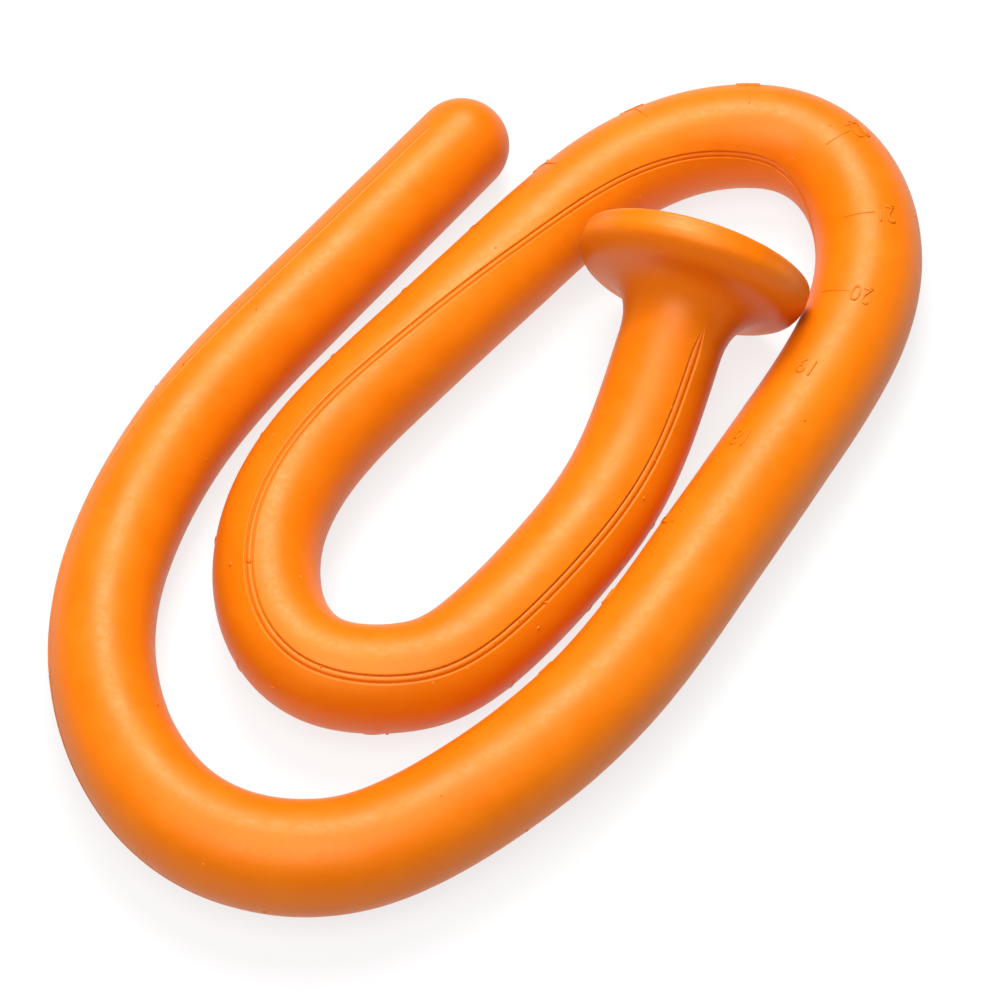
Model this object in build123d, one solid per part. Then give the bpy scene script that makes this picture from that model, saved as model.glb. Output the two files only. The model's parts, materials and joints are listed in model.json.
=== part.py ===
from build123d import *
import os
from math import atan2, cos, degrees, radians, sin, sqrt, tan

# A long soft rod with a domed tip and a flared base, lying coiled like a paper clip.
# Millimetres and degrees. +Z is up and the rod lies on the plane z = 0.

# Sizes of the rod and its base
rod_diameter = 26.4
tip_diameter = 23.8
base_diameter = 57.0
base_thickness = 10.0
back_round = 6.0          # the base's edge towards the rod
front_round = 1.0         # the base's edge towards its flat face
neck_flare = 14.0         # length over which the rod opens out into the base

# Straight runs, each from one bend's corner to the next
tip_run = 109.0
right_run = 124.0
left_run = 108.0
neck_run = 26.0

# Room between neighbouring turns
side_gap = 4.2            # between the tip run and the left run, where they are closest
rim_gap = 1.42            # between the base's rim and the runs that it stands between
turn_gap = 0.2            # between the right run and the inner turn

# How the rod lies: each bend is a row of corners, as (feed from the corner before, turn)
right_heading = 58.0
outer_bend = [(0, 17), (46, 24), (33, 24), (27, 24), (20, 26), (21, 26), (23, 25), (52, 20)]
upper_bend = [(0, 19), (27, 24), (21, 27), (15, 30), (13, 28), (20, 25), (25, 18)]
inner_bend = [(0, 19), (28, 26), (22, 27), (15, 30), (12, 29), (18, 27), (16, 24)]
neck_bend = [(44, 12), (26, 8.5)]
bend_share = 0.47         # share of the shorter neighbouring feed that an arc takes up
tapered_corners = 6       # corners over which the tip's diameter grows to the rod's

# Where the rod flexes
flex_length = 12.0
tip_flexes = [("tip_lift_front", 30.0), ("tip_swing_front", 49.0), ("tip_lift", 68.0), ("tip_swing", 87.0)]
outer_flex_corners = range(len(outer_bend))
upper_flex_corners = range(0, len(upper_bend), 2)
inner_flex_corners = range(1, len(inner_bend), 2)
base_lift_place = 0.5     # along the first feed of the neck's bend
base_lift_end_place = 11.0  # along the neck run

rod_radius = rod_diameter / 2
tip_radius = tip_diameter / 2
base_radius = base_diameter / 2


def along(heading):
    return Vector(cos(radians(heading)), sin(radians(heading)), 0)


def walk(start, heading, bend, stretch):
    """The corners of a bend that starts at a point, and the heading that it leaves on."""
    corners = [start]
    for feed, turn in bend:
        if feed:
            corners.append(corners[-1] + along(heading) * feed * stretch)
        heading += turn
    return corners, heading


def stretch_to(start, heading, bend, leftwards, distance):
    """How much to stretch a bend so that its last corner lies a distance leftwards of the right run."""
    corners, _ = walk(start, heading, bend, 1)
    reach = (corners[-1] - corners[0]).dot(leftwards)
    return (distance - start.dot(leftwards)) / reach


def coil_corners():
    """Every corner of the rod in plan, from the tip to the base."""
    leftwards = along(right_heading + 90)
    loop_width = 4 * sqrt(rod_radius * base_radius) + rim_gap
    run_start = Vector(0, 0, 0)
    run_end = along(right_heading) * right_run

    stretch = stretch_to(run_end, right_heading, upper_bend, leftwards, loop_width)
    upper, heading = walk(run_end, right_heading, upper_bend, stretch)

    inner_start = upper[-1] + along(heading) * left_run
    whole_inner = inner_bend + neck_bend[:1]
    beside = rod_diameter + turn_gap
    stretch = stretch_to(inner_start, heading, whole_inner, leftwards, beside)
    inner, heading = walk(inner_start, heading, inner_bend + neck_bend, stretch)
    inner.append(inner[-1] + along(heading) * (neck_run + neck_flare))

    backwards = [(0, -outer_bend[-1][1])]
    for nearer, farther in zip(outer_bend[:0:-1], outer_bend[-2::-1]):
        backwards.append((-nearer[0], -farther[1]))
    tip_side = inner_start.dot(leftwards) + rod_diameter + side_gap
    stretch = stretch_to(run_start, right_heading, backwards, leftwards, tip_side)
    outer, heading = walk(run_start, right_heading, backwards, stretch)
    outer.append(outer[-1] - along(heading) * tip_run)
    return outer[::-1] + upper + inner


def lay_down(corners):
    """Rest each corner on the plane, and raise the last one so that the base stands on its rim."""
    radii = []
    for number, corner in enumerate(corners):
        grown = min(1, number / tapered_corners)
        radii.append(tip_radius + (rod_radius - tip_radius) * grown)
    run = (corners[-1] - corners[-2]).length
    slope = 0
    for _ in range(10):
        hub_height = (base_radius - back_round) * cos(slope) + back_round * (1 - sin(slope))
        slope = atan2(hub_height - rod_radius, run)
    laid = [Vector(corner.X, corner.Y, radius) for corner, radius in zip(corners, radii)]
    laid[-1] += Vector(0, 0, run * tan(slope))
    return laid, radii


class Run:
    """A straight stretch of the rod."""

    def __init__(self, start, end, start_radius, end_radius):
        self.start = start
        self.direction = (end - start).normalized()
        self.length = (end - start).length
        self.start_radius = start_radius
        self.end_radius = end_radius

    def place(self, distance):
        return self.start + self.direction * distance, self.direction

    def radius(self, distance):
        return self.start_radius + (self.end_radius - self.start_radius) * distance / self.length

    def solid(self, first, last):
        plane = Plane(origin=self.place(first)[0], z_dir=self.direction)
        if abs(self.radius(first) - self.radius(last)) < 1e-6:
            return Solid.make_cylinder(self.radius(first), last - first, plane)
        return Solid.make_cone(self.radius(first), self.radius(last), last - first, plane)


class Bend:
    """An arc of the rod about a corner."""

    def __init__(self, start, direction, leaving, reach, radius):
        self.start = start
        self.direction = direction
        self.normal = direction.cross(leaving).normalized()
        self.turn = radians(direction.get_angle(leaving))
        self.bend_radius = reach / tan(self.turn / 2)
        self.centre = start + self.normal.cross(direction) * self.bend_radius
        self.length = self.bend_radius * self.turn
        self.rod_radius = radius

    def place(self, distance):
        angle = degrees(distance / self.bend_radius)
        out = (self.start - self.centre).rotate(Axis((0, 0, 0), self.normal), angle)
        return self.centre + out, self.direction.rotate(Axis((0, 0, 0), self.normal), angle)

    def radius(self, distance):
        return self.rod_radius

    def solid(self, first, last):
        point, direction = self.place(first)
        section = Plane(origin=point, x_dir=self.normal, z_dir=direction) * Circle(self.rod_radius)
        angle = degrees((last - first) / self.bend_radius)
        return revolve(section, Axis(self.centre, self.normal), angle).solid()


class Rod:
    """The rod's centre line: straight runs joined by arcs, measured by the distance from the tip."""

    def __init__(self, corners, radii):
        feeds = [(b - a).length for a, b in zip(corners, corners[1:])]
        self.pieces = []
        self.middles = []
        point = corners[0]
        radius = radii[0]
        for number in range(1, len(corners) - 1):
            arriving = (corners[number] - corners[number - 1]).normalized()
            leaving = (corners[number + 1] - corners[number]).normalized()
            reach = bend_share * min(feeds[number - 1], feeds[number])
            start = corners[number] - arriving * reach
            self.pieces.append(Run(point, start, radius, radii[number]))
            bend = Bend(start, arriving, leaving, reach, radii[number])
            self.middles.append(self.length() + bend.length / 2)
            self.pieces.append(bend)
            point = corners[number] + leaving * reach
            radius = radii[number]
        self.pieces.append(Run(point, corners[-1], radius, radii[-1]))

    def length(self):
        return sum(piece.length for piece in self.pieces)

    def place(self, station):
        for piece in self.pieces:
            if station <= piece.length:
                return piece.place(station)
            station -= piece.length
        return self.pieces[-1].place(self.pieces[-1].length)

    def stretch(self, first, last):
        """One solid between two stations."""
        solids = []
        gone = 0
        for piece in self.pieces:
            start = max(first - gone, 0)
            end = min(last - gone, piece.length)
            if end - start > 0.01:
                solids.append(piece.solid(start, end))
            gone += piece.length
        joined = solids[0].fuse(*solids[1:]) if len(solids) > 1 else solids[0]
        return joined.solid()


def flex_stations(rod):
    """Name and station of each flexing zone, from the tip to the base."""
    stations = list(tip_flexes)
    first = 0
    for bend, name, corners in (
        (outer_bend, "outer_bend", outer_flex_corners),
        (upper_bend, "upper_bend", upper_flex_corners),
        (inner_bend, "inner_bend", inner_flex_corners),
    ):
        for number, corner in enumerate(corners, 1):
            stations.append((f"{name}_{number}", rod.middles[first + corner]))
        first += len(bend)
    before = rod.middles[first - 1]
    after = rod.middles[first]
    stations.append(("base_lift", before + (after - before) * base_lift_place))
    stations.append(("base_lift_end", rod.length() - neck_flare - neck_run + base_lift_end_place))
    return stations


def tip_dome(rod):
    point, direction = rod.place(0)
    return Solid.make_sphere(tip_radius, Plane(origin=point, z_dir=direction * -1), 0, 90)


def end_plane(rod):
    """Plane across the rod where it starts to open out, with its normal along the rod."""
    point, direction = rod.place(rod.length() - neck_flare)
    return Plane(origin=point, x_dir=direction.cross(Vector(0, 0, 1)), z_dir=direction)


def turned(outline, plane):
    """Turn an outline, drawn as (radius, distance along the rod), about the rod's centre line."""
    return plane * revolve(Plane.XZ * make_face(outline), Axis.Z)


def neck(plane):
    back_radius = base_radius - back_round
    outline = [
        Line((0, 0), (rod_radius, 0)),
        Spline((rod_radius, 0), (back_radius, neck_flare), tangents=((0, 1), (1, 0.2))),
        Line((back_radius, neck_flare), (0, neck_flare)),
        Line((0, neck_flare), (0, 0)),
    ]
    return turned(outline, plane)


def base(plane):
    back = neck_flare
    front = neck_flare + base_thickness
    outline = [
        Line((0, back), (base_radius - back_round, back)),
        RadiusArc((base_radius - back_round, back), (base_radius, back + back_round), -back_round),
        Line((base_radius, back + back_round), (base_radius, front - front_round)),
        RadiusArc((base_radius, front - front_round), (base_radius - front_round, front), -front_round),
        Line((base_radius - front_round, front), (0, front)),
        Line((0, front), (0, back)),
    ]
    return turned(outline, plane)


def section_names(flexes):
    """Each stretch between two flexing zones takes its name from where it lies."""
    names = ["tip"]
    for (before, _), (after, _) in zip(flexes, flexes[1:]):
        groups = [name.rstrip("0123456789") for name in (before, after)]
        if groups[0] == groups[1]:
            names.append(before.replace("bend", "link"))
        elif after.startswith("tip"):
            names.append(f"tip_link_{len(names)}")
        elif after.startswith("outer"):
            names.append("tip_run")
        elif after.startswith("upper"):
            names.append("right_run")
        elif after.startswith("inner"):
            names.append("left_run")
        elif before.startswith("inner"):
            names.append("base_run")
        else:
            names.append("base_link")
    return names + ["neck_run"]


def build_nodes():
    rod = Rod(*lay_down(coil_corners()))
    flexes = flex_stations(rod)
    edges = [0]
    for _, station in flexes:
        edges += [station - flex_length / 2, station + flex_length / 2]
    edges.append(rod.length() - neck_flare)

    nodes = {}
    for name, first, last in zip(section_names(flexes), edges[::2], edges[1::2]):
        nodes[name] = rod.stretch(first, last)
    nodes["tip"] = nodes["tip"].fuse(tip_dome(rod)).solid()
    for (name, station) in flexes:
        nodes[f"flex_{name}"] = rod.stretch(station - flex_length / 2, station + flex_length / 2)
    nodes["neck"] = neck(end_plane(rod))
    nodes["base"] = base(end_plane(rod))

    box = Compound(list(nodes.values())).bounding_box()
    centred = Pos(-box.center().X, -box.center().Y, -box.min.Z)
    hinges = {}
    for name, station in flexes:
        point, direction = rod.place(station)
        hinges[name] = (centred * Pos(point)).position, direction
    return {name: centred * solid for name, solid in nodes.items()}, hinges, rod


nodes, hinges, rod = build_nodes()
os.makedirs("parts", exist_ok=True)
for name, solid in nodes.items():
    export_step(solid, f"parts/{name}.step")
radii = [piece.bend_radius for piece in rod.pieces if isinstance(piece, Bend)]
print("length from tip to base", round(rod.length() + tip_radius + base_thickness, 1))
print("bend radii", [round(radius) for radius in radii])
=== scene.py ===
import json
import random
from bisect import bisect_right
from math import cos, degrees, pi, radians, sin, sqrt

import bmesh
import bpy
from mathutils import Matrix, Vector, noise
from mathutils.geometry import interpolate_bezier

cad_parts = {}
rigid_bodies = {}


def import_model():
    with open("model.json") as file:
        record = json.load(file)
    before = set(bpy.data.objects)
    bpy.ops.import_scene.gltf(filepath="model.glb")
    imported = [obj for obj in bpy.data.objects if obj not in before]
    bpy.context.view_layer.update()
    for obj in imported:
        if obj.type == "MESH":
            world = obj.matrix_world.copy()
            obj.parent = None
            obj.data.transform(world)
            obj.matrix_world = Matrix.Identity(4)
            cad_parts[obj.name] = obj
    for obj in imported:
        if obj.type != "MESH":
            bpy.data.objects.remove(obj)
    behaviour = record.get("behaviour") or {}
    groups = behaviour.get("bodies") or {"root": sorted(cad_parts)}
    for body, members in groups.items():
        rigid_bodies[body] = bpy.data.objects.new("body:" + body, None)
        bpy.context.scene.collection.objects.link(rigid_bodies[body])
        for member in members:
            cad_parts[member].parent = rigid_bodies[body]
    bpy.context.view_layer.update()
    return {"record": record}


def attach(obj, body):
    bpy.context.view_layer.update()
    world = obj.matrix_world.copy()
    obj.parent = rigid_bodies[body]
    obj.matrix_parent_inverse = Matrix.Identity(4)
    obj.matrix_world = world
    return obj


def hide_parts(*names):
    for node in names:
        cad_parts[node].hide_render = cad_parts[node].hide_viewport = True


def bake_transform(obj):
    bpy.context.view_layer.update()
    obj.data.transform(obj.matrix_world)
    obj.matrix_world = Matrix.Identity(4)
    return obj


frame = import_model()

# A long soft silicone rod with a domed tip and a flared base, lying coiled like a paper clip.
# The scene is in metres. Places along the rod are in millimetres from the middle of the tip's dome,
# and angles around it in degrees: 0 is the outer side of the coil, 90 the top, 180 the inner side.

mm = 0.001
joints = frame["record"]["behaviour"]["joints"]


def link(thing):
    bpy.context.collection.objects.link(thing)
    return thing


def between(table, place):
    places = [row[0] for row in table]
    number = min(max(bisect_right(places, place) - 1, 0), len(table) - 2)
    (low, first), (high, last) = table[number], table[number + 1]
    share = min(max((place - low) / (high - low), 0), 1)
    return first + (last - first) * share


def eased(table, place, reach):
    return sum(between(table, place + reach * part) for part in (-1, -0.5, 0, 0.5, 1)) / 5


# camera

camera = {
    "aim": (-0.0002, -0.0074, 0.0125),
    "elevation": 57,
    "distance": 0.808,
    "lens": 122.5,
}


def addCamera():
    viewer = link(bpy.data.objects.new("camera", bpy.data.cameras.new("camera")))
    viewer.data.lens = camera["lens"]
    viewer.data.clip_start = 0.05
    slope = radians(camera["elevation"])
    back = Vector((0, -cos(slope), sin(slope)))
    viewer.location = Vector(camera["aim"]) + back * camera["distance"]
    viewer.rotation_euler = (-back).to_track_quat("-Z", "Y").to_euler()
    bpy.context.scene.camera = viewer


addCamera()
print("camera ready")


# the rod's centre line

line = {
    "start": (-9.94, 100.59),       # middle of the tip's dome
    "heading": -128,
    # each bend as (feed from the corner before, turn), and how much its feeds are stretched
    "outerBend": [(109, 17), (46, 24), (33, 24), (27, 24), (20, 26), (21, 26), (23, 25), (52, 20)],
    "upperBend": [(124, 19), (27, 24), (21, 27), (15, 30), (13, 28), (20, 25), (25, 18)],
    "innerBend": [(108, 19), (28, 26), (22, 27), (15, 30), (12, 29), (18, 27), (16, 24)],
    "neckBend": [(44, 12), (26, 8.5)],
    "neckRun": 40,
    "stretches": (1.0152, 1.0244, 0.9623, 0.9623),
    "straights": {0: (0.3, 0.62), 8: (0.34, 0.68), 15: (0.3, 0.68), 24: (0.45,)},  # points on a run
    "tipRest": 12.0,                # height of the line under the tip
    "rest": 13.3,                   # and where the rod is thicker
    "restFrom": 6,                  # corner from which it is
    "neckRest": 25.8,               # where it meets the base
}


def onwards(heading):
    return Vector((cos(radians(heading)), sin(radians(heading)), 0))


def routeCorners():
    place = Vector((*line["start"], 0))
    heading = line["heading"]
    corners = [place]
    bends = (line["outerBend"], line["upperBend"], line["innerBend"], line["neckBend"])
    for bend, stretch in zip(bends, line["stretches"]):
        for number, (feed, turn) in enumerate(bend):
            if number or bend is line["neckBend"]:
                feed *= stretch
            place = place + onwards(heading) * feed
            corners.append(place)
            heading += turn
    corners.append(place + onwards(heading) * line["neckRun"])
    for number, corner in enumerate(corners):
        corner.z = line["tipRest"] + (line["rest"] - line["tipRest"]) * min(1, number / line["restFrom"])
    corners[-1].z = line["neckRest"]
    return corners


def smoothLine():
    # a smooth spline through the corners, read back as fine steps
    corners = routeCorners()
    points = []
    for number, corner in enumerate(corners):
        points.append(corner)
        for share in line["straights"].get(number, ()):
            points.append(corner.lerp(corners[number + 1], share))
    curve = bpy.data.curves.new("centreLine", "CURVE")
    curve.dimensions = "3D"
    spline = curve.splines.new("NURBS")
    spline.points.add(len(points) - 1)
    for knot, point in zip(spline.points, points):
        knot.co = (*point, 1)
    spline.order_u = 4
    spline.use_endpoint_u = True
    spline.resolution_u = 24
    holder = link(bpy.data.objects.new("centreLine", curve))
    mesh = bpy.data.meshes.new_from_object(holder)
    steps = [vert.co.copy() for vert in mesh.vertices]
    bpy.data.objects.remove(holder)
    bpy.data.curves.remove(curve)
    bpy.data.meshes.remove(mesh)
    return steps


steps = smoothLine()
gone = [0]
for before, after in zip(steps, steps[1:]):
    gone.append(gone[-1] + (after - before).length)
rodEnd = gone[-1]
print("centre line", round(rodEnd), "mm long")


def linePoint(station):
    # beyond either end the line goes straight on
    number = min(max(bisect_right(gone, station) - 1, 0), len(steps) - 2)
    share = (station - gone[number]) / (gone[number + 1] - gone[number])
    return steps[number] + (steps[number + 1] - steps[number]) * share


def lineFrame(station):
    ahead = (linePoint(station + 2) - linePoint(station - 2)).normalized()
    outward = ahead.cross(Vector((0, 0, 1))).normalized()
    return linePoint(station), ahead, outward, outward.cross(ahead)


# the shape of the rod and its base

rod = {
    "radii": [(-12, 12.1), (150, 12.3), (205, 12.5), (262, 13.15), (520, 13.2), (640, 12.85), (730, 12.55),
              (820, 12.55), (900, 12.8)],
    "tipRadius": 12.1,
    "domeRings": 14,
    "plainSides": 69,               # of the ring, outside the groove
    "step": 1.5,
    "cutStep": 0.25,                # between the last two rings at a cut
    "unevenness": 0.09,
    "unevenLength": 17,
    "unevenTurn": 1.3,              # how quickly it changes around the rod
    "easing": 12,
}

groove = {
    # the slot that runs from the tip to the neck, and how it turns around the rod
    "turns": [(0, 68), (92, 62), (174, 22), (384, -118), (433, -154), (496, -184), (572, -232),
              (631, -262), (696, -278), (772, -304), (880, -309)],
    "easing": 16,
    "halfWidths": [(0, 0.7), (600, 0.85), (880, 1.15)],
    "start": 7.5,
    "end": 884,
    "startRounding": 1.6,
    "endTaper": 7,
    # across the slot, as (part of the half width, part of the depth): two furrows beside a bead
    "outline": [(-1.6, 0), (-1.2, -0.08), (-1.02, 0.05), (-0.93, 0.7), (-0.84, 1), (-0.7, 0.85), (-0.48, 0.4),
                (-0.24, 0.2), (0, 0.15), (0.24, 0.2), (0.48, 0.4), (0.7, 0.85), (0.84, 1), (0.93, 0.7),
                (1.02, 0.05), (1.2, -0.08), (1.6, 0)],
    "depth": 0.5,                   # for each millimetre of half width
    "darkest": 0.5,                 # depth that gets the most painted shade
    "endSteps": 9,                  # finer rings at both ends
    "endStep": 0.3,
}

base = {
    "radius": 28.5,
    "thickness": 10,
    "flare": 14,                    # length over which the rod opens out
    "backRadius": 22.5,
    "backRound": 6,
    "frontRound": 1.2,
    # handles of its curves, as (place from the start of the flare, radius)
    "flareHandles": (8, (12.8, 15.6)),
    "backHandles": ((14.8, 26.3), (17.1, 28.5)),
    "rimHandles": ((21, 28.5), (22, 28.5)),
    "frontHandle": 0.4,
    # its slightly dished face, as (depth, radius)
    "face": [(0, 25), (0.1, 20), (0.3, 13), (0.4, 6), (0.4, 0.5)],
}


def rodRadius(station):
    return eased(rod["radii"], station, rod["easing"])


def grooveAngle(station):
    return eased(groove["turns"], station, groove["easing"])


def grooveOpening(station):
    fromStart = min(max((station - groove["start"]) / groove["startRounding"], 0), 1)
    fromEnd = min(max((groove["end"] - station) / groove["endTaper"], 0), 1)
    return sqrt(1 - (1 - fromStart) ** 2) * fromEnd ** 0.6


def surfacePoint(station, angle, distance):
    centre, ahead, outward, upward = lineFrame(station)
    centre.z = max(centre.z, distance * 0.99)
    return centre + (outward * cos(radians(angle)) + upward * sin(radians(angle))) * distance


def rounded(first, firstHandle, lastHandle, last, count):
    flat = [Vector((*corner, 0)) for corner in (first, firstHandle, lastHandle, last)]
    return [(point.x, point.y) for point in interpolate_bezier(*flat, count)]


def sideAngles(station, radius):
    # (angle from the groove, depth below the skin) of each corner of a ring
    opening = grooveOpening(station)
    half = between(groove["halfWidths"], station) * max(opening, 0.2)
    sides = []
    for part, depth in groove["outline"]:
        sides.append((degrees(part * half / radius), depth * half * groove["depth"] * min(1, opening * 4)))
    edge = groove["outline"][-1][0] * groove["halfWidths"][-1][1] / rod["tipRadius"]
    first = degrees(edge) + 2
    for number in range(rod["plainSides"]):
        sides.append((first + (360 - 2 * first) * number / (rod["plainSides"] - 1), 0))
    return sides


def shapeRing(corners, station, radius, slotShade):
    turn = grooveAngle(station)
    for corner, (angle, depth) in zip(corners, sideAngles(station, max(radius, 3))):
        bearing = radians(angle + turn)
        swing = rod["unevenTurn"]
        along = station / rod["unevenLength"]
        drift = noise.noise(Vector((along, cos(bearing) * swing, sin(bearing) * swing)))
        distance = radius - depth
        if radius > 8:              # the dome's pole stays round
            distance += drift * rod["unevenness"]
        corner.co = surfacePoint(station, angle + turn, distance) * mm
        # painted shade in the slot: more where the corner lies deeper
        corner[slotShade] = max(depth, 0) / groove["darkest"]


def growSkin(rings, closeStart, closeEnd):
    # one ring pulled along the line, step by step
    bm = bmesh.new()
    slotShade = bm.verts.layers.float.new("slotShade")
    count = len(groove["outline"]) + rod["plainSides"]
    bmesh.ops.create_circle(bm, cap_ends=True, segments=count, radius=1)
    bm.verts.ensure_lookup_table()
    corners = list(bm.verts)
    edges = list(bm.edges)
    firstRing = corners
    shapeRing(corners, *rings[0], slotShade)
    for ring in rings[1:]:
        numbers = {corner: number for number, corner in enumerate(corners)}
        grown = bmesh.ops.extrude_edge_only(bm, edges=edges)["geom"]
        edges = [item for item in grown if isinstance(item, bmesh.types.BMEdge)]
        corners = [None] * count
        for item in grown:
            if isinstance(item, bmesh.types.BMVert):
                beside = [edge.other_vert(item) for edge in item.link_edges]
                corners[next(numbers[near] for near in beside if near in numbers)] = item
        shapeRing(corners, *ring, slotShade)
    bmesh.ops.contextual_create(bm, geom=edges)
    for face in bm.faces:
        face.smooth = len(face.verts) == 4
        if not face.smooth:
            for edge in face.edges:
                edge.smooth = False
    for closed, ring in ((closeStart, firstRing), (closeEnd, corners)):
        if closed:
            middle = sum((corner.co for corner in ring), Vector()) / count
            for corner in ring:
                for edge in corner.link_edges:
                    edge.smooth = True
            bmesh.ops.pointmerge(bm, verts=ring, merge_co=middle)
    for face in bm.faces:
        if len(face.verts) == 3:
            face.smooth = True
    bmesh.ops.recalc_face_normals(bm, faces=bm.faces)
    return bm


# raised marks: numerals, ticks and pimples, made flat and wrapped onto the skin

marks = {
    "first": 3,
    "last": 35,
    "shown": 19,                    # this numeral
    "shownAt": 432,                 # lies here
    "pitch": 25.4,
    "aroundFromGroove": -106,
    "size": 7.1,
    "narrowing": 0.76,
    "thinning": -0.12,
    "height": 0.22,
    "sunk": 0.45,                   # how far they reach into the skin
    "edge": 0.06,
    "tickFrom": 12,                 # degrees from the numeral's middle
    "tickTo": 45,
    "tickWidth": 0.45,
    "tickHeight": 0.8,              # of the numeral's
    "tickRound": 0.08,
    "withoutTick": (18, 19),
    "clear": 4,                     # room kept between a mark and a cut
}

pimples = {
    "count": 46,
    "sizes": (0.16, 0.34),
    "shape": (1, 1.2, 0.8),
    "between": (20, 30),            # kept clear of them at the tip and at the base
    "besideGroove": 3,              # degrees that some of them stray from it
    # (place, angle, size) of the larger ones
    "larger": [(721, 52, 0.5), (722, 74, 0.45), (838, 40, 0.35), (797, 36, 0.4), (802, 51, 0.35),
               (418, 72, 0.36), (486, 30, 0.4), (300, 118, 0.4), (745, 20, 0.3), (640, 60, 0.3)],
}


def markStation(number):
    return marks["shownAt"] + (number - marks["shown"]) * marks["pitch"]


def wrapOn(bm, station, angle):
    # x goes around the rod, y towards the tip and z out of the skin
    radius = rodRadius(station)
    for corner in bm.verts:
        x, y, z = corner.co
        place = surfacePoint(station - y, angle + degrees(x / radius), rodRadius(station - y) + z)
        corner.co = place * mm
    return bm


def makeNumeral(number):
    text = bpy.data.curves.new("numeral", "FONT")
    text.body = str(number)
    text.align_x = "CENTER"
    text.align_y = "CENTER"
    text.size = marks["size"]
    text.offset = marks["thinning"]
    text.extrude = (marks["height"] + marks["sunk"]) / 2
    text.bevel_depth = marks["edge"]
    text.bevel_resolution = 1
    text.resolution_u = 5
    holder = link(bpy.data.objects.new("numeral", text))
    mesh = bpy.data.meshes.new_from_object(holder)
    bm = bmesh.new()
    bm.from_mesh(mesh)
    bpy.data.objects.remove(holder)
    bpy.data.curves.remove(text)
    bpy.data.meshes.remove(mesh)
    bmesh.ops.remove_doubles(bm, verts=bm.verts, dist=0.001)
    bmesh.ops.scale(bm, vec=(marks["narrowing"], 1, 1), verts=bm.verts)
    bmesh.ops.translate(bm, vec=(0, 0, (marks["height"] - marks["sunk"]) / 2), verts=bm.verts)
    station = markStation(number)
    wrapOn(bm, station, grooveAngle(station) + marks["aroundFromGroove"])
    bmesh.ops.recalc_face_normals(bm, faces=bm.faces)
    return bm


def makeTick(number):
    station = markStation(number)
    middle = (marks["tickFrom"] + marks["tickTo"]) / 2
    length = radians(marks["tickTo"] - marks["tickFrom"]) * rodRadius(station)
    bm = bmesh.new()
    height = marks["height"] * marks["tickHeight"]
    bmesh.ops.create_cube(bm, size=1)
    bmesh.ops.scale(bm, vec=(length, marks["tickWidth"], height + marks["sunk"]), verts=bm.verts)
    bmesh.ops.translate(bm, vec=(0, 0, (height - marks["sunk"]) / 2), verts=bm.verts)
    bmesh.ops.bevel(bm, geom=bm.edges, offset=marks["tickRound"], segments=2, profile=0.5,
                    affect="EDGES", material=-1)
    long = [edge for edge in bm.edges if abs(edge.verts[0].co.x - edge.verts[1].co.x) > length / 2]
    bmesh.ops.subdivide_edges(bm, edges=long, cuts=9, use_grid_fill=True)
    wrapOn(bm, station, grooveAngle(station) + marks["aroundFromGroove"] + middle)
    bmesh.ops.recalc_face_normals(bm, faces=bm.faces)
    return bm


def makePimple(station, angle, size):
    bm = bmesh.new()
    bmesh.ops.create_icosphere(bm, subdivisions=2, radius=size)
    bmesh.ops.scale(bm, vec=pimples["shape"], verts=bm.verts)
    wrapOn(bm, station, angle)
    bmesh.ops.recalc_face_normals(bm, faces=bm.faces)
    return bm


def allMarks():
    made = []
    for number in range(marks["first"], marks["last"] + 1):
        made.append((markStation(number), makeNumeral(number)))
        if number not in marks["withoutTick"]:
            made.append((markStation(number), makeTick(number)))
    for station, angle, size in pimples["larger"]:
        made.append((station, makePimple(station, angle, size)))
    random.seed(11)
    atTip, atBase = pimples["between"]
    for number in range(pimples["count"]):
        station = random.uniform(atTip, rodEnd - atBase)
        if number % 3 == 0:
            angle = grooveAngle(station) + random.gauss(0, pimples["besideGroove"])
        else:
            angle = random.uniform(0, 360)
        made.append((station, makePimple(station, angle, random.uniform(*pimples["sizes"]))))
    return made


# cut places: one piece of skin crosses each joint

skin = {
    "lastCut": 13,                  # from the last joint
    "bendReach": 25,                # of a bend to either side of its joint
    "endRoom": 0.3,
}


def stationOf(joint):
    place = Vector(joint["pos_m"]) / mm
    return gone[min(range(len(steps)), key=lambda number: (steps[number] - place).length)]


def clearOfMarks(cut):
    for number in range(marks["first"], marks["last"] + 1):
        away = cut - markStation(number)
        if abs(away) < marks["clear"]:
            return markStation(number) + (marks["clear"] if away > 0 else -marks["clear"])
    return cut


hinges = sorted((stationOf(joint), joint["name"]) for joint in joints)
byName = {joint["name"]: joint for joint in joints}
cuts = [clearOfMarks((one[0] + next_[0]) / 2) for one, next_ in zip(hinges, hinges[1:])]
cuts.append(clearOfMarks(hinges[-1][0] + skin["lastCut"]))


def ringsBetween(first, last):
    # finer beside the cuts, where two pieces have to shade alike
    count = max(3, round((last - first) / rod["step"]))
    stations = [first + (last - first) * number / count for number in range(count + 1)]
    stations += [first + rod["cutStep"], last - rod["cutStep"]]
    for edge in (groove["start"], groove["end"] - groove["endTaper"] / 4):
        near = [edge + groove["endStep"] * number for number in range(groove["endSteps"])]
        stations += [station for station in near if first < station < last]
    return [(station, rodRadius(station)) for station in sorted(stations)]


def domeRings():
    rings = []
    for number in range(1, rod["domeRings"]):
        lean = pi / 2 * number / rod["domeRings"]
        rings.append((-rod["tipRadius"] * cos(lean), rod["tipRadius"] * sin(lean)))
    rings.insert(0, (-rod["tipRadius"] * 0.9995, 0.35))
    return rings


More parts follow.
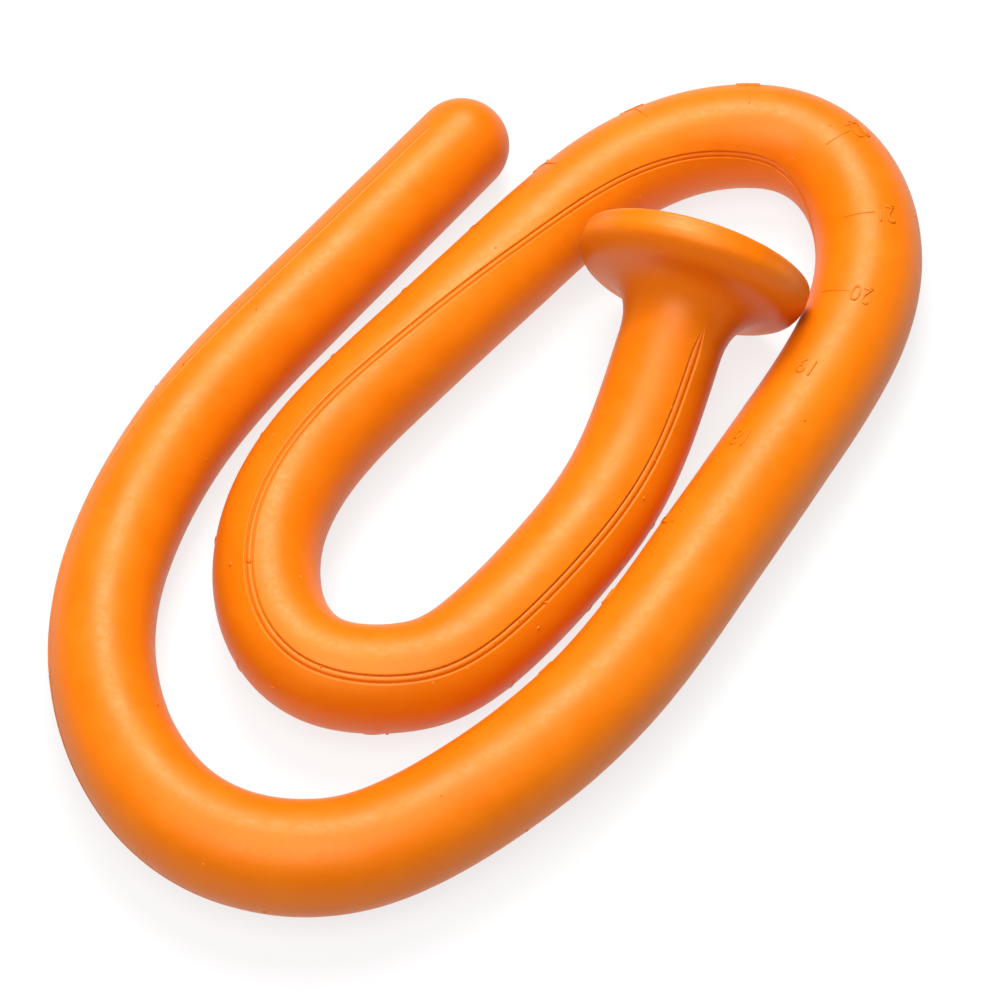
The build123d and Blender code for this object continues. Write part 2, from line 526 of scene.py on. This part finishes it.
def baseRings():
    start = rodEnd - base["flare"]
    stem = rodRadius(start)
    back = (base["flare"], base["backRadius"])
    rim = (base["flare"] + base["backRound"], base["radius"])
    front = base["flare"] + base["thickness"]
    edge = (front - base["frontRound"], base["radius"])
    face = (front, base["radius"] - base["frontRound"])
    feed, flareHandle = base["flareHandles"]
    corner = base["frontHandle"]
    outline = rounded((0, stem), (feed, stem), flareHandle, back, 14)
    outline += rounded(back, *base["backHandles"], rim, 9)[1:]
    outline += rounded(rim, *base["rimHandles"], edge, 4)[1:]
    outline += rounded(edge, (front - corner, base["radius"]), (front, base["radius"] - corner), face, 5)[1:]
    outline += [(front - depth, radius) for depth, radius in base["face"]]
    return [(start + along, radius) for along, radius in outline]


# the silicone

silicone = {
    "deep": (0.7, 0.145, 0.0),
    "pale": (0.73, 0.165, 0.001),
    # painted shade for the slot's furrows and bead, mixed in by their depth
    "slotShade": (0.55, 0.045, 0.001),
    "dust": (0.9, 0.45, 0.25),
    "dirt": (0.3, 0.035, 0.005),
    "roughness": (0.36, 0.5),
    "specular": 0.4,
    "glossTint": (1, 0.8, 0.5),
    "slotShadeShare": 0.3,             # how strongly each of these colours shows: the slot's painted shade and the specks
    "speckShare": 0.5,
    "dustSpecks": (260, 0.055, 0.05),   # how many, how large and how often one is kept
    "dirtSpecks": (180, 0.05, 0.035),
    "dirtDepth": 3,
    "bumpStrength": 0.35,
    "bumpHeight": 0.00012,
}


def newGroup(name, inputs, outputs):
    group = bpy.data.node_groups.new(name, "ShaderNodeTree")
    for label, kind in inputs:
        group.interface.new_socket(label, in_out="INPUT", socket_type=kind)
    for label, kind in outputs:
        group.interface.new_socket(label, in_out="OUTPUT", socket_type=kind)
    return group, group.nodes.new("NodeGroupInput"), group.nodes.new("NodeGroupOutput")


def addNode(tree, kind, **settings):
    node = tree.nodes.new(kind)
    for name, value in settings.items():
        setattr(node, name, value)
    return node


def addNoise(tree, place, scale, detail=3, roughness=0.55):
    node = addNode(tree, "ShaderNodeTexNoise")
    node.inputs["Scale"].default_value = scale
    node.inputs["Detail"].default_value = detail
    node.inputs["Roughness"].default_value = roughness
    tree.links.new(place, node.inputs["Vector"])
    return node.outputs["Fac"]


def addRange(tree, value, low, high, outLow, outHigh):
    node = addNode(tree, "ShaderNodeMapRange", interpolation_type="SMOOTHSTEP")
    for socket, number in zip(("From Min", "From Max", "To Min", "To Max"), (low, high, outLow, outHigh)):
        node.inputs[socket].default_value = number
    tree.links.new(value, node.inputs["Value"])
    return node.outputs["Result"]


def addMath(tree, operation, first, second):
    node = addNode(tree, "ShaderNodeMath", operation=operation)
    for socket, value in zip(node.inputs, (first, second)):
        if isinstance(value, (int, float)):
            socket.default_value = value
        else:
            tree.links.new(value, socket)
    return node.outputs[0]


def addBlend(tree, first, firstShare, second, secondShare):
    first = addMath(tree, "MULTIPLY", first, firstShare)
    return addMath(tree, "ADD", first, addMath(tree, "MULTIPLY", second, secondShare))


def specksGroup():
    # small round spots, scattered thinly
    group, given, out = newGroup(
        "specks",
        [("Place", "NodeSocketVector"), ("Scale", "NodeSocketFloat"), ("Size", "NodeSocketFloat"),
         ("Share", "NodeSocketFloat")],
        [("Spots", "NodeSocketFloat")],
    )
    cells = addNode(group, "ShaderNodeTexVoronoi", feature="F1")
    group.links.new(given.outputs["Place"], cells.inputs["Vector"])
    group.links.new(given.outputs["Scale"], cells.inputs["Scale"])
    chosen = addNode(group, "ShaderNodeSeparateColor")
    group.links.new(cells.outputs["Color"], chosen.inputs["Color"])
    kept = addMath(group, "LESS_THAN", chosen.outputs["Red"], given.outputs["Share"])
    near = addMath(group, "LESS_THAN", cells.outputs["Distance"], given.outputs["Size"])
    group.links.new(addMath(group, "MULTIPLY", kept, near), out.inputs["Spots"])
    return group


def skinGroup():
    # moulded silicone: slow changes of tone, a faint grain and fine pores
    group, given, out = newGroup(
        "moulded skin",
        [("Place", "NodeSocketVector")],
        [("Tone", "NodeSocketFloat"), ("Sheen", "NodeSocketFloat"), ("Height", "NodeSocketFloat")],
    )
    place = given.outputs["Place"]
    slow = addNoise(group, place, 22, 2)
    cloud = addNoise(group, place, 150, 3)
    grain = addNoise(group, place, 2400, 3, 0.7)
    pores = addNoise(group, place, 900, 2)
    tone = addBlend(group, slow, 0.6, cloud, 0.4)
    group.links.new(addRange(group, tone, 0.35, 0.65, 0, 1), out.inputs["Tone"])
    group.links.new(addBlend(group, cloud, 0.5, pores, 0.5), out.inputs["Sheen"])
    lumps = addBlend(group, cloud, 1.2, pores, 0.5)
    group.links.new(addMath(group, "ADD", lumps, addMath(group, "MULTIPLY", grain, 0.35)),
                    out.inputs["Height"])
    return group


def mixColours(tree, share, first, second):
    node = addNode(tree, "ShaderNodeMix", data_type="RGBA")
    for name, value in (("Factor_Float", share), ("A_Color", first), ("B_Color", second)):
        socket = next(socket for socket in node.inputs if socket.identifier == name)
        if isinstance(value, tuple):
            socket.default_value = (*value, 1)
        else:
            tree.links.new(value, socket)
    return next(socket for socket in node.outputs if socket.identifier == "Result_Color")


def makeSilicone():
    material = bpy.data.materials.new("orangeSilicone")
    material.use_nodes = True
    tree = material.node_tree
    shader = tree.nodes["Principled BSDF"]
    place = addNode(tree, "ShaderNodeAttribute", attribute_name="restPlace").outputs["Vector"]
    slotShade = addNode(tree, "ShaderNodeAttribute", attribute_name="slotShade").outputs["Fac"]
    moulded = addNode(tree, "ShaderNodeGroup", node_tree=skinGroup())
    tree.links.new(place, moulded.inputs["Place"])
    spots = specksGroup()
    masks = []
    for scale, size, share in (silicone["dustSpecks"], silicone["dirtSpecks"]):
        node = addNode(tree, "ShaderNodeGroup", node_tree=spots)
        tree.links.new(place, node.inputs["Place"])
        node.inputs["Scale"].default_value = scale
        node.inputs["Size"].default_value = size
        node.inputs["Share"].default_value = share
        masks.append(node.outputs["Spots"])
    colour = mixColours(tree, moulded.outputs["Tone"], silicone["deep"], silicone["pale"])
    # painted shade in the slot, then the dust and dirt specks
    for mask, share, name in ((slotShade, silicone["slotShadeShare"], "slotShade"),
                              (masks[0], silicone["speckShare"], "dust"),
                              (masks[1], silicone["speckShare"], "dirt")):
        colour = mixColours(tree, addMath(tree, "MULTIPLY", mask, share), colour, silicone[name])
    tree.links.new(colour, shader.inputs["Base Color"])
    low, high = silicone["roughness"]
    tree.links.new(addRange(tree, moulded.outputs["Sheen"], 0.3, 0.7, low, high), shader.inputs["Roughness"])
    pits = addMath(tree, "MULTIPLY", masks[1], silicone["dirtDepth"])
    height = addMath(tree, "SUBTRACT", moulded.outputs["Height"], pits)
    bump = addNode(tree, "ShaderNodeBump")
    bump.inputs["Strength"].default_value = silicone["bumpStrength"]
    bump.inputs["Distance"].default_value = silicone["bumpHeight"]
    tree.links.new(height, bump.inputs["Height"])
    tree.links.new(bump.outputs["Normal"], shader.inputs["Normal"])
    shader.inputs["Specular IOR Level"].default_value = silicone["specular"]
    shader.inputs["Specular Tint"].default_value = (*silicone["glossTint"], 1)
    return material


siliconeMaterial = makeSilicone()


def finishPiece(name, bm, added):
    # marks join the piece that they stand on, and every corner keeps its place at rest for the patterns
    mesh = bpy.data.meshes.new(name)
    for extra in added:
        for face in extra.faces:
            face.smooth = True
        part = bpy.data.meshes.new("mark")
        extra.to_mesh(part)
        bm.from_mesh(part)
        bpy.data.meshes.remove(part)
    rest = bm.verts.layers.float_vector.new("restPlace")
    for corner in bm.verts:
        corner[rest] = corner.co
    bm.to_mesh(mesh)
    bm.free()
    mesh.materials.append(siliconeMaterial)
    piece = link(bpy.data.objects.new(name, mesh))
    return piece


def blendPlaces(hinge, first, last):
    # the blend's start and end, inset so that both end rings lie outside it
    reach = min(hinge - first, last - hinge, skin["bendReach"])
    start = linePoint(hinge - reach)
    end = linePoint(hinge + reach)
    ahead = (end - start).normalized()
    rings = []
    for station in (first, last):
        radius = rodRadius(station) + skin["endRoom"]
        rings.append([surfacePoint(station, angle, radius) for angle in range(0, 360, 30)])
    inset = max(0, max((place - start).dot(ahead) for place in rings[0])) + skin["endRoom"]
    outset = max(0, max((end - place).dot(ahead) for place in rings[1])) + skin["endRoom"]
    return (start + ahead * inset) * mm, (end - ahead * outset) * mm


def buildRod():
    made = allMarks()
    firsts = [-rod["tipRadius"] - 10] + cuts[:-1]
    body = "tip"
    for (station, name), first, last in zip(hinges, firsts, cuts):
        rings = domeRings() + ringsBetween(0, last) if body == "tip" else ringsBetween(first, last)
        bm = growSkin(rings, body == "tip", False)
        piece = finishPiece("skin_" + name, bm, [mark for place, mark in made if first < place <= last])
        joint = byName[name]
        following = joint["parent"] if joint["child"] == body else joint["child"]
        blendPlaces(station, first, last)
        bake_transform(piece)
        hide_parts(body, joint["deforming_nodes"][0]["node"])
        body = following
    rings = ringsBetween(cuts[-1], rodEnd - base["flare"])[:-1] + baseRings()
    bm = growSkin(rings, False, True)
    piece = finishPiece("flared_base", bm, [mark for place, mark in made if place > cuts[-1]])
    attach(piece, body)
    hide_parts("neck_run", "neck", "base")
    return len(hinges) + 1


print("pieces of skin:", buildRod())


# floor and light

studio = {
    "floor": (0.15, 0.15, 0.15),
    "floorGlow": 0.78,              # lit from below, so that it stays pale
    "floorSize": 8,
    "floorDrop": 0.0001,
    "world": 0.04,
    # (name, place, size, power) of each soft box, all turned to the object
    "softBoxes": [
        ("keyLight", (0.0, 0.6, 1.0), 0.55, 15.5),
        ("overheadLight", (-0.15, -0.3, 1.0), 0.8, 11.5),
    ],
}


def addFloor():
    bm = bmesh.new()
    bmesh.ops.create_grid(bm, x_segments=1, y_segments=1, size=studio["floorSize"] / 2)
    bmesh.ops.translate(bm, vec=(0, 0, -studio["floorDrop"]), verts=bm.verts)
    mesh = bpy.data.meshes.new("floor")
    bm.to_mesh(mesh)
    bm.free()
    material = bpy.data.materials.new("palePaper")
    material.use_nodes = True
    shader = material.node_tree.nodes["Principled BSDF"]
    shader.inputs["Base Color"].default_value = (*studio["floor"], 1)
    shader.inputs["Roughness"].default_value = 0.8
    shader.inputs["Specular IOR Level"].default_value = 0.2
    shader.inputs["Emission Color"].default_value = (1, 1, 1, 1)
    shader.inputs["Emission Strength"].default_value = studio["floorGlow"]
    mesh.materials.append(material)
    link(bpy.data.objects.new("floor", mesh))


def addLights():
    for name, place, size, power in studio["softBoxes"]:
        light = bpy.data.lights.new(name, "AREA")
        light.size = size
        light.energy = power
        lamp = link(bpy.data.objects.new(name, light))
        lamp.location = place
        lamp.rotation_euler = (-Vector(place)).to_track_quat("-Z", "Y").to_euler()
    world = bpy.data.worlds.new("studio")
    world.use_nodes = True
    world.node_tree.nodes["Background"].inputs["Color"].default_value = (1, 1, 1, 1)
    world.node_tree.nodes["Background"].inputs["Strength"].default_value = studio["world"]
    bpy.context.scene.world = world
    bpy.context.scene.view_settings.view_transform = "Standard"


addFloor()
addLights()
print("floor and lights ready")
